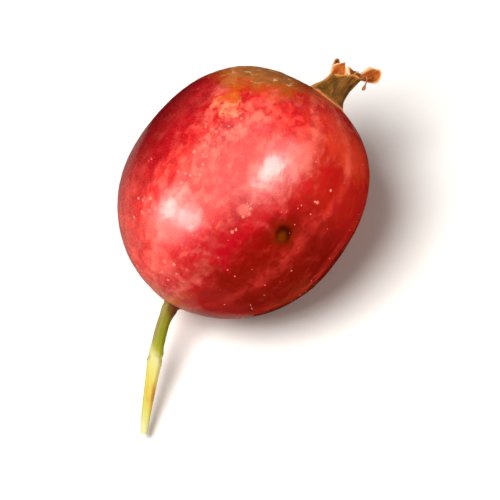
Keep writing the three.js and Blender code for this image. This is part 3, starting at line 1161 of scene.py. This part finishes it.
def stalk_material():
    ink, material = new_ink("green_stalk")
    spot = straight_place(ink)
    x, y, _ = parts_of(spot)
    fibres = grain(stretch(spot, (0.35, 3.2, 3.2)), 1.0, 4.0, 0.6)
    blotches = grain(spot, 0.9, 3.0, 0.6)
    wander = x + swing(blotches, 1.2) + y * 1.1
    stops = [(share, colour(*levels)) for share, levels in STALK_TONES]
    tone = coats(
        wander.node("ValToRGB", {"stops": stops}, {"Fac": wander / STALK_LENGTH}),
        (RIND_GREY, fade(y, -0.1, 0.5) * fade(wander, 5.2, 3.8) * fade(wander, 0.4, 1.2) * 0.7),
        (RUST, fade(y, -0.02, -0.34) * fade(wander, 7.2, 8.2) * fade(wander, 10.0, 9.0) * 0.7),
        (GREEN_FIBRE, fade(fibres, 0.56, 0.72) * fade(wander, 6.2, 4.2) * 0.6),
        (STRAW_FIBRE, fade(fibres, 0.6, 0.75) * fade(wander, 5.0, 7.0) * 0.4),
    )
    show(ink, {
        "Base Color": tone,
        "Roughness": 0.52 + fibres * 0.25,
        "Normal": bump(fibres + blotches * 0.4, 0.6, 0.12),
        "Specular IOR Level": 0.15,
    }, flesh=(0.25, (1.0, 0.8, 0.3), 0.5))
    return material


# %% Papery flower
def paper_material(name, deep, middle, pale, rim_share, foot=None):
    """Dry papery tissue from deep to pale, with a pale rim, and a foot colour if it grows from skin."""
    ink, material = new_ink(name)
    spot = straight_place(ink)
    x, y, z = parts_of(spot)
    fibres = grain(stretch(spot, (0.5, 3.0, 3.0)), 1.0, 4.0, 0.65)
    crumple = grain(spot, 1.5, 4.0, 0.65)
    tone = coats(
        deep,
        (middle, fade(crumple + swing(fibres, 0.6), 0.36, 0.66)),
        (pale, fade(fibres, 0.58, 0.78) * 0.5),
    )
    if rim_share:
        rim = ink.node("Attribute", {"attribute_name": "rim"}, out="Fac")
        tone = blend(tone, pale, fade(rim + swing(fibres, 0.4), 0.52, 0.92) * rim_share)
    if foot:
        side = y / ((y * y + z * z) ** 0.5 + NEVER_ZERO)
        tone = coats(
            tone,
            # painted highlight: a pale stripe down one side of the tube
            (pale, fade(side + swing(crumple, 0.5), -0.72, -0.98) * 0.8),
            (foot, fade(x + swing(crumple, 0.5), 0.75, 0.4)),
            (pale, fade(x + swing(crumple, 0.3), 2.65, 2.95) * 0.8),
        )
    show(ink, {
        "Base Color": tone,
        "Roughness": 0.6 + fibres * 0.25,
        "Normal": bump(fibres + crumple * 0.6, 0.7, 0.14),
        "Specular IOR Level": 0.15,
    }, flesh=(0.3, (1.0, 0.5, 0.2), 0.4))
    return material


# %% Paint on the dry pieces
PAPERS = {  # deep, middle and pale colours, and how much paler the rim is
    "bract": ((140, 124, 50), (176, 160, 84), (204, 192, 128), 0.5),
    "dried_tube": ((80, 50, 6), (122, 77, 14), (210, 138, 68), 0),
    "dried_sepal": ((124, 58, 10), (178, 90, 22), (250, 188, 132), 0.9),
    "dried_petal": ((112, 60, 24), (170, 100, 44), (222, 170, 110), 0.5),
    "dried_thread": ((132, 78, 44), (176, 120, 84), (220, 170, 150), 0),
}
TUBE_FOOT_COLOUR = colour(232, 136, 84)


def paper(name, foot=None):
    """The paper of that name in the table."""
    *tones, rim_share = PAPERS[name]
    return paper_material(name, *[colour(*tone) for tone in tones], rim_share, foot)


paint(stalk_material(), stem)
paint(paper("bract"), *bracts)
paint(paper("dried_tube", TUBE_FOOT_COLOUR), tube)
paint(paper("dried_sepal"), *sepals[:2], *sepals[3:])
paint(paper("dried_petal"), sepals[2], *petals)
paint(paper("dried_thread"), *threads)
print("papers:", list(PAPERS))

# %% What each piece stands for
for piece in [stem, *bracts]:
    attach(piece, "root")
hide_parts("stalk")
for piece in [tube, *sepals, *petals, *threads]:
    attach(piece, "root")
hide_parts("dried_flower")
bpy.data.objects.remove(flat_blade)
print("flower pieces:", 1 + len(sepals) + len(petals) + len(threads))

# %% [markdown]
# ## Lenticels and down
# The skin is dotted with lenticels, tiny pale corky domes that catch the light, in loose clusters and
# singly. Between them stand a few short soft hairs. Both are modelled once, a low dome and a
# tapering thread, and copied to places drawn on the skin: a ray towards the berry finds the spot and
# the normal to stand on. The draw is seeded, so each run gives the same fruit.

# %% One dome and one hair
DOME_SIDES, DOME_ROWS = 7, [(-0.4, 1.0), (0.0, 0.98), (0.2, 0.75), (0.32, 0.35)]
HAIR_SIDES, HAIR_ROWS = 4, [(-0.2, 1.0), (2.0, 0.85), (6.0, 0.6), (10.0, 0.3)]
HAIR_BEND = 0.035

dome = ring_tube("dome", DOME_SIDES, DOME_ROWS)
close_ends()
hair = ring_tube("hair", HAIR_SIDES, HAIR_ROWS)
close_ends()
for vertex in hair.data.vertices:
    vertex.co.z += HAIR_BEND * (vertex.co.x / MM) ** 2 * MM
print("faces:", len(dome.data.polygons), "and", len(hair.data.polygons))


# %% Scattering
def scatter(model, name, spots):
    """Copies a model that stands along X to (place, normal, turn, size) spots as one piece."""
    copies = []
    for spot, normal, turn, size in spots:
        copy = copy_of(model, name)
        stand = normal.to_track_quat("X", "Z").to_matrix() @ Matrix.Rotation(turn, 3, "X")
        copy.data.transform(Matrix.LocRotScale(spot, stand.to_quaternion(), Vector((size,) * 3)))
        copies.append(copy)
    bpy.ops.object.select_all(action="DESELECT")
    for copy in copies:
        copy.select_set(True)
    bpy.context.view_layer.objects.active = copies[0]
    bpy.ops.object.join()
    joined = bpy.context.object
    joined.name = name
    smooth(joined)
    bpy.data.objects.remove(model)
    return joined


# %% Places for them
CLUSTERS = [  # sway, along, spread, count
    (-5.2, 1.0, 1.3, 12), (-4.5, 4.6, 1.3, 14), (-5.0, -1.4, 1.4, 10), (1.5, -0.9, 0.8, 5),
    (1.6, -3.2, 0.5, 3), (-1.5, -10.2, 1.4, 8), (-6.5, -6.0, 1.8, 12), (7.0, 3.0, 2.0, 6),
]
CLUSTER_SIZES = 0.06, 0.2
LONE_LENTICELS, LONE_SIZES = 190, (0.03, 0.09)
HAIRS, HAIR_SIZES, HAIR_TILT = 80, (0.012, 0.022), 0.35
ENDS_FROM, END_RADIUS, SPOT_HEIGHT = 11, 2.6, 1.2

draw = random.Random(31)


def any_vector(spread):
    """A vector whose three numbers come from a bell curve, so it may point anywhere."""
    return Vector([draw.gauss(0, spread) for _ in range(3)])


def clear_of_the_ends(spot):
    """Whether a place is off the two roots and off the flat spot."""
    across, sway, along = own(spot)
    seat = FLOWER_SEAT if along > 0 else STALK_SEAT
    at_an_end = abs(along) > ENDS_FROM and math.hypot(across, sway - seat) < END_RADIUS
    return spot.z > SPOT_HEIGHT * MM and not at_an_end


def anywhere(count, sizes, tilt=0.0):
    """Draws this many places all over the skin, and keeps those that are clear of the ends."""
    spots = []
    for _ in range(count):
        direction = any_vector(1).normalized()
        spot, normal, _, _ = skin_faces.ray_cast(CENTRE + direction * OUTSIDE * MM, -direction)
        if clear_of_the_ends(spot):
            if tilt:
                normal = (normal + any_vector(tilt)).normalized()
            spots.append((spot, normal, draw.uniform(0, 6), draw.uniform(*sizes)))
    return spots


lenticel_spots = []
for sway, along, spread, count in CLUSTERS:
    for _ in range(count):
        spot, normal = facing(draw.gauss(sway, spread / 2), draw.gauss(along, spread / 2))
        lenticel_spots.append((spot, normal, draw.uniform(0, 6), draw.uniform(*CLUSTER_SIZES)))
lenticel_spots += anywhere(LONE_LENTICELS, LONE_SIZES)
hair_spots = anywhere(HAIRS, HAIR_SIZES, HAIR_TILT)
lenticels = scatter(dome, "lenticels", lenticel_spots)
down = scatter(hair, "down", hair_spots)
print("lenticels:", len(lenticel_spots), "hairs:", len(hair_spots))


# %% Their finishes
def speck_material(name, deep, pale, roughness):
    ink, material = new_ink(name)
    spot = own_place(ink)
    show(ink, {
        "Base Color": blend(deep, pale, fade(grain(spot, 1.3), 0.35, 0.65)),
        "Roughness": roughness + grain(spot, 6.0) * 0.1,
    }, flesh=(0.4, (1.0, 0.5, 0.4), 0.3))
    return material


paint(speck_material("lenticel", colour(226, 84, 72), colour(238, 120, 102), 0.5), lenticels)
paint(speck_material("down", colour(226, 120, 104), colour(244, 172, 150), 0.4), down)
for piece in (lenticels, down):
    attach(piece, "root")

# %% [markdown]
# ## The floor
# A plain pale floor, wide enough to fill every view.

# %% Floor
FLOOR_SIZE = 1.6

bpy.ops.mesh.primitive_plane_add(size=FLOOR_SIZE)
floor = bpy.context.object
floor.name = "floor"
ink, floor_paint = new_ink("floor")
show(ink, {"Base Color": colour(236, 234, 230), "Roughness": 0.9})
paint(floor_paint, floor)

# %% [markdown]
# ## Light
# A glossy fruit is told by what it mirrors. A window is seen in the skin where the skin's normal
# stands halfway between the window and the camera, so each window is hung by choosing the place of
# its highlight. A wide dim curtain behind each window softens its edge, and a pale wall joins the
# two. The key and the fill only brighten and aren't mirrored, or more highlights would sit on the
# berry. The floor isn't mirrored either, as it would whiten the whole rim: two small warm lights on
# it stand in for what the lower rim should mirror.

# %% Lights and sky
WHITE = (1, 1, 1)
WARM = (1.0, 0.82, 0.68)
CREAM = (1.0, 0.97, 0.92)
HANG = 0.35
FLOOR_GAP = 0.4 * MM
SKY = (0.95, 0.97, 1.0, 1.0)
SKY_STRENGTH = 0.1


def softbox(name, spot, facing_way, size, power, mirrored, tint):
    """A soft oval light at a spot. It is either mirrored in the skin or lights it up."""
    bpy.ops.object.light_add(type="AREA", location=spot)
    light = bpy.context.object
    light.name = name
    light.rotation_mode = "QUATERNION"
    back = -facing_way.normalized()
    tall = (AXIS - back * AXIS.dot(back)).normalized()
    light.rotation_quaternion = Matrix((tall.cross(back), tall, back)).transposed().to_quaternion()
    light.data.shape = "ELLIPSE"
    light.data.size, light.data.size_y = size
    light.data.energy = power
    light.data.color = tint
    light.visible_glossy = mirrored
    light.visible_diffuse = not mirrored
    light.visible_camera = False


def mirrored_at(sway, along):
    """The direction of a window whose highlight is at this place on the skin."""
    normal = facing(sway, along)[1]
    return 2 * normal.dot(toward_camera) * normal - toward_camera


def seen(right, up, toward):
    """A direction given as the camera sees it."""
    return view_right * right + view_up * up + toward_camera * toward


HUNG_LIGHTS = [  # name, direction, size, power, whether it is mirrored, tint
    ("key", seen(-0.34, 0.20, 0.92), (0.18, 0.18), 1.85, False, WHITE),
    ("fill", seen(0.85, -0.25, 0.40), (0.20, 0.20), 0.52, False, WARM),
    ("window_right", mirrored_at(0.8, 3.9), (0.13, 0.13), 0.98, True, CREAM),
    ("window_left", mirrored_at(-4.9, -4.7), (0.11, 0.12), 0.56, True, CREAM),
    ("window_left_pane", mirrored_at(-3.3, -4.6), (0.10, 0.10), 0.42, True, CREAM),
    ("curtain_right", mirrored_at(1.0, 4.4), (0.26, 0.32), 0.72, True, CREAM),
    ("curtain_left", mirrored_at(-4.6, -5.2), (0.30, 0.32), 0.78, True, CREAM),
    ("pale_wall", mirrored_at(-3.0, 0.3), (0.42, 0.90), 1.35, True, CREAM),
]
FLOOR_LIGHTS = [  # name, place before it is moved down or up to the floor, width, power
    ("bounce", place(0, -17, -15), 0.042, 0.0012),
    ("glow", place(0, 5.0, -10.5), 0.007, 0.00003),
]
for name, direction, *rest in HUNG_LIGHTS:
    direction = direction.normalized()
    softbox(name, CENTRE + direction * HANG, -direction, *rest)
for name, spot, width, power in FLOOR_LIGHTS:
    spot.z = FLOOR_GAP
    softbox(name, spot, Vector((0, 0, 1)), (width, width), power, True, WARM)

world = bpy.data.worlds.new("sky")
bpy.context.scene.world = world
world.use_nodes = True
sky = world.node_tree.nodes["Background"]
sky.inputs["Color"].default_value = SKY
sky.inputs["Strength"].default_value = SKY_STRENGTH
world.cycles_visibility.glossy = False
floor.visible_glossy = False
bpy.context.scene.view_settings.view_transform = "Standard"
